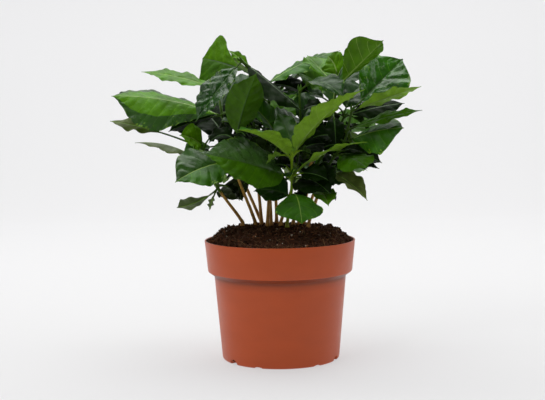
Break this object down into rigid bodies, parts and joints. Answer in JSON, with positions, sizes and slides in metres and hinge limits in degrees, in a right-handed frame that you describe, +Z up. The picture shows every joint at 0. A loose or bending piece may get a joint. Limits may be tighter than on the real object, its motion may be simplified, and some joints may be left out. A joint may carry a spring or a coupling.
{
  "type": "potted coffee plant",
  "caption": "Young coffee plant of slender seedlings with opposite glossy leaves, in a filled round nursery pot.",
  "frame": {"origin": "centre of the pot's flat underside", "axes": "+Z up along the pot's axis; the view of the picture looks along +Y, with +X to its right"},
  "size_m": [0.2473, 0.1853, 0.2608],
  "materials": {
    "pot": "satin",
    "soil": "matte",
    "stem": "matte",
    "foliage": "glossy"
  },
  "bodies": {
    "root": {"pot": "pot", "soil": "soil", "stem_1": "stem", "stem_2": "stem", "stem_3": "stem", "stem_4": "stem", "stem_5": "stem", "stem_6": "stem", "stem_7": "stem", "stem_8": "stem", "stem_9": "stem", "stem_10": "stem", "stem_11": "stem", "stem_12": "stem", "stem_13": "stem", "foliage_1": "foliage", "foliage_2": "foliage", "foliage_3": "foliage", "foliage_4": "foliage", "foliage_5": "foliage", "foliage_6": "foliage", "foliage_7": "foliage", "foliage_8": "foliage", "foliage_9": "foliage", "foliage_10": "foliage", "foliage_11": "foliage", "foliage_12": "foliage", "foliage_13": "foliage"}
  },
  "joints": []
}
